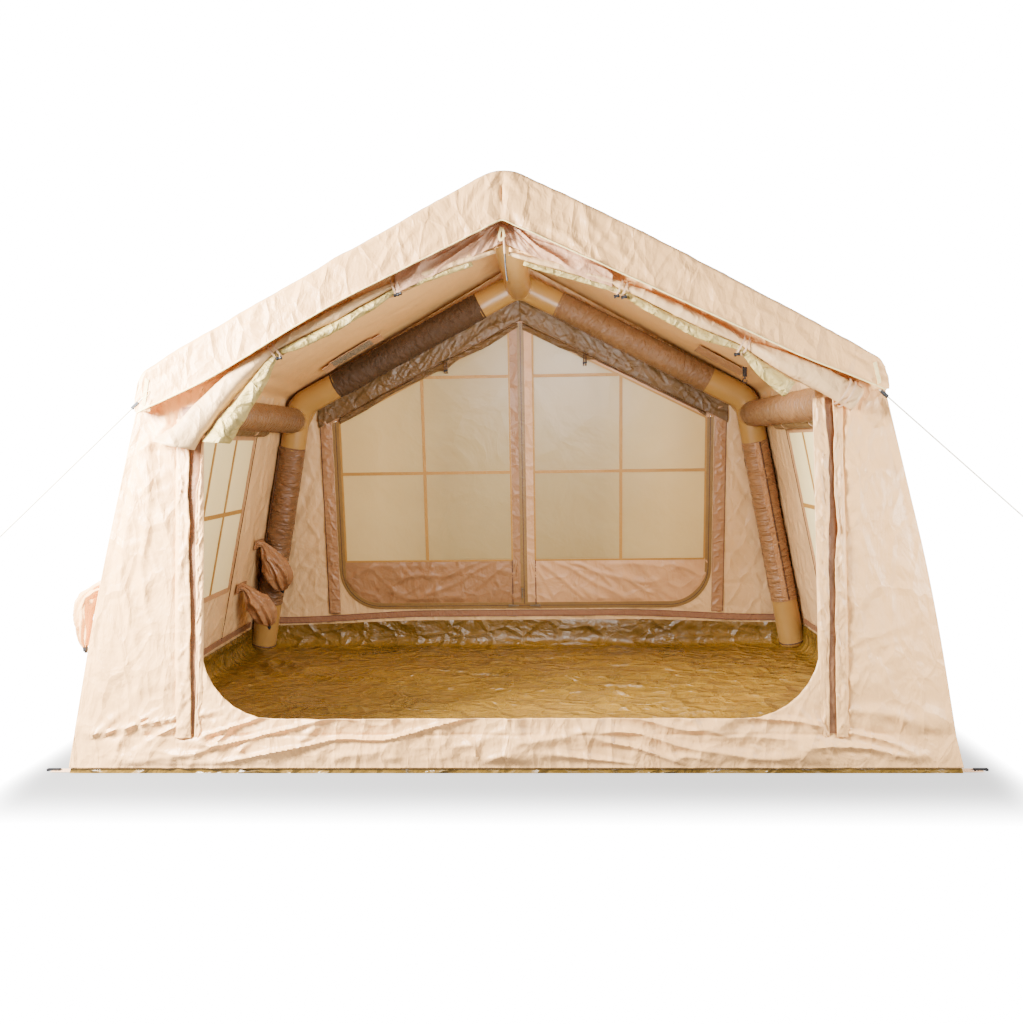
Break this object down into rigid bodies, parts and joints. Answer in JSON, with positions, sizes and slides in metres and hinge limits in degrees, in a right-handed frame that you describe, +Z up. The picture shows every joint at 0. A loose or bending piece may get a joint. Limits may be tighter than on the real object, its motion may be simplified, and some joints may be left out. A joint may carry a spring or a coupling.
{
  "type": "inflatable tent",
  "caption": "Inflatable ridge tent with air arches in sleeves, roof sheet, leaning walls, tub floor, side windows, glazed rear door and rolled front door.",
  "frame": {"origin": "on the ground, under the middle of the tent", "axes": "X runs to the right seen from the front, Y to the rear, away from the front door, and Z up"},
  "size_m": [3.5334, 2.096, 2.0219],
  "materials": {
    "air_tube": "satin coated film",
    "tube_sleeve": "coated woven fabric",
    "tub_floor": "satin coated sheet",
    "outer_canvas": "matte woven fabric",
    "inner_canvas": "matte woven fabric",
    "window_mesh": "fine mesh",
    "window_film": "thin translucent film",
    "brown_canvas": "matte woven fabric",
    "webbing": "woven tape",
    "black_plastic": "moulded",
    "zip_metal": "worn",
    "guy_cord": "braided"
  },
  "bodies": {
    "tent": {"front_arch_tube": "air_tube", "front_left_door_roll": "outer_canvas", "front_left_leg_sleeve": "tube_sleeve", "front_left_mesh_roll": "window_mesh", "front_left_rafter_sleeve": "tube_sleeve", "front_right_door_roll": "outer_canvas", "front_right_leg_sleeve": "tube_sleeve", "front_right_mesh_roll": "window_mesh", "front_right_rafter_sleeve": "tube_sleeve", "front_wall": "outer_canvas", "groundsheet": "tub_floor", "lamp_strap": "webbing", "left_eave_beam": "air_tube", "left_eave_sleeve": "tube_sleeve", "left_guyline": "guy_cord", "left_roof_vent": "window_mesh", "left_wall": "outer_canvas", "left_window": "window_mesh", "left_window_blind": "brown_canvas", "lower_cable_port": "brown_canvas", "outer_cable_port": "outer_canvas", "rear_arch_tube": "air_tube", "rear_door_zip_tape": "brown_canvas", "rear_left_leg_sleeve": "tube_sleeve", "rear_left_rafter_sleeve": "tube_sleeve", "rear_right_leg_sleeve": "tube_sleeve", "rear_right_rafter_sleeve": "tube_sleeve", "rear_wall": "inner_canvas", "ridge_beam": "air_tube", "right_eave_beam": "air_tube", "right_eave_sleeve": "tube_sleeve", "right_guyline": "guy_cord", "right_wall": "outer_canvas", "right_window": "window_mesh", "right_window_blind": "brown_canvas", "roof_sheet": "outer_canvas", "upper_cable_port": "brown_canvas", "valve_body": "black_plastic"},
    "rear_left_leaf": {"rear_left_door_leaf": "inner_canvas", "rear_left_door_pane": "window_film"},
    "rear_right_leaf": {"rear_right_door_leaf": "inner_canvas", "rear_right_door_pane": "window_film"},
    "rear_centre_slider": {"rear_centre_zip_slider": "zip_metal"},
    "rear_left_slider": {"rear_left_zip_slider": "zip_metal"},
    "rear_right_slider": {"rear_right_zip_slider": "zip_metal"},
    "front_left_slider": {"front_left_zip_slider": "zip_metal"},
    "front_right_slider": {"front_right_zip_slider": "zip_metal"},
    "left_runner": {"left_guy_runner": "black_plastic"},
    "right_runner": {"right_guy_runner": "black_plastic"},
    "upper_port_button": {"upper_cable_port_button": "black_plastic"},
    "lower_port_button": {"lower_cable_port_button": "black_plastic"},
    "outer_port_button": {"outer_cable_port_button": "black_plastic"},
    "cap": {"valve_cap": "black_plastic"},
    "poppet": {"valve_poppet": "black_plastic"},
    "hook": {"lamp_hook": "black_plastic"},
    "vent_flap": {"right_vent_flap": "brown_canvas"},
    "front_left_peg": {"front_left_peg_hook": "black_plastic"},
    "front_right_peg": {"front_right_peg_hook": "black_plastic"},
    "rear_left_peg": {"rear_left_peg_hook": "black_plastic"},
    "rear_right_peg": {"rear_right_peg_hook": "black_plastic"}
  },
  "joints": [
    {"name": "rear_left_leaf_lift", "type": "hinge", "parent": "tent", "child": "rear_left_leaf", "pos_m": [-0.5, 0.88799, 1.48433], "axis": [0.8934, -0.0488, 0.4467], "range_deg": [0, 80]},
    {"name": "rear_right_leaf_lift", "type": "hinge", "parent": "tent", "child": "rear_right_leaf", "pos_m": [0.5, 0.88799, 1.48433], "axis": [0.8934, 0.0488, -0.4467], "range_deg": [0, 80]},
    {"name": "rear_centre_zip", "type": "slide", "parent": "rear_left_leaf", "child": "rear_centre_slider", "axis": [0, -0.1085, 0.9941], "range_m": [0, 1.3]},
    {"name": "rear_left_zip", "type": "slide", "parent": "tent", "child": "rear_left_slider", "axis": [-1, 0, 0], "range_m": [0, 0.68]},
    {"name": "rear_right_zip", "type": "slide", "parent": "tent", "child": "rear_right_slider", "axis": [1, 0, 0], "range_m": [0, 0.68]},
    {"name": "front_left_zip", "type": "slide", "parent": "tent", "child": "front_left_slider", "axis": [0, 0.1085, 0.9941], "range_m": [0, 0.7]},
    {"name": "front_right_zip", "type": "slide", "parent": "tent", "child": "front_right_slider", "axis": [0, 0.1085, 0.9941], "range_m": [0, 0.7]},
    {"name": "left_runner_slide", "type": "slide", "parent": "tent", "child": "left_runner", "axis": [-0.7434, 0, -0.6688], "range_m": [0, 0.4]},
    {"name": "right_runner_slide", "type": "slide", "parent": "tent", "child": "right_runner", "axis": [0.7434, 0, -0.6688], "range_m": [0, 0.4]},
    {"name": "upper_lock_press", "type": "slide", "parent": "tent", "child": "upper_port_button", "axis": [0.0441, -0.5297, 0.847], "range_m": [0, 0.005], "stiffness_N_per_m": 60, "springref_m": -0.002},
    {"name": "lower_lock_press", "type": "slide", "parent": "tent", "child": "lower_port_button", "axis": [0.0047, -0.2907, 0.9568], "range_m": [0, 0.005], "stiffness_N_per_m": 60, "springref_m": -0.002},
    {"name": "outer_lock_press", "type": "slide", "parent": "tent", "child": "outer_port_button", "axis": [-0.1895, 0.1479, 0.9707], "range_m": [0, 0.005], "stiffness_N_per_m": 60, "springref_m": -0.002},
    {"name": "valve_cap_turn", "type": "hinge", "parent": "tent", "child": "cap", "pos_m": [-1.39479, -0.89506, 0.14324], "axis": [-0.0218, 0.9943, -0.1039], "range_deg": [0, 90]},
    {"name": "valve_poppet_press", "type": "slide", "parent": "tent", "child": "poppet", "axis": [0.0218, -0.9943, 0.1039], "range_m": [0, 0.004], "stiffness_N_per_m": 60, "springref_m": -0.002},
    {"name": "lamp_hook_swing", "type": "hinge", "parent": "tent", "child": "hook", "pos_m": [1.05, 0.36, 1.40284], "axis": [0, 1, 0], "range_deg": [-60, 60]},
    {"name": "vent_flap_drop", "type": "hinge", "parent": "tent", "child": "vent_flap", "pos_m": [0.92839, 0.4625, 1.51239], "axis": [-0.8729, 0, 0.4878], "range_deg": [0, 70]},
    {"name": "front_left_peg_turn", "type": "hinge", "parent": "tent", "child": "front_left_peg", "pos_m": [-1.543, -1.02, 0.005], "axis": [0, 0, 1], "range_deg": [-45, 45]},
    {"name": "front_right_peg_turn", "type": "hinge", "parent": "tent", "child": "front_right_peg", "pos_m": [1.543, -1.02, 0.005], "axis": [0, 0, 1], "range_deg": [-45, 45]},
    {"name": "rear_left_peg_turn", "type": "hinge", "parent": "tent", "child": "rear_left_peg", "pos_m": [-1.543, 1.02, 0.005], "axis": [0, 0, 1], "range_deg": [-45, 45]},
    {"name": "rear_right_peg_turn", "type": "hinge", "parent": "tent", "child": "rear_right_peg", "pos_m": [1.543, 1.02, 0.005], "axis": [0, 0, 1], "range_deg": [-45, 45]}
  ]
}
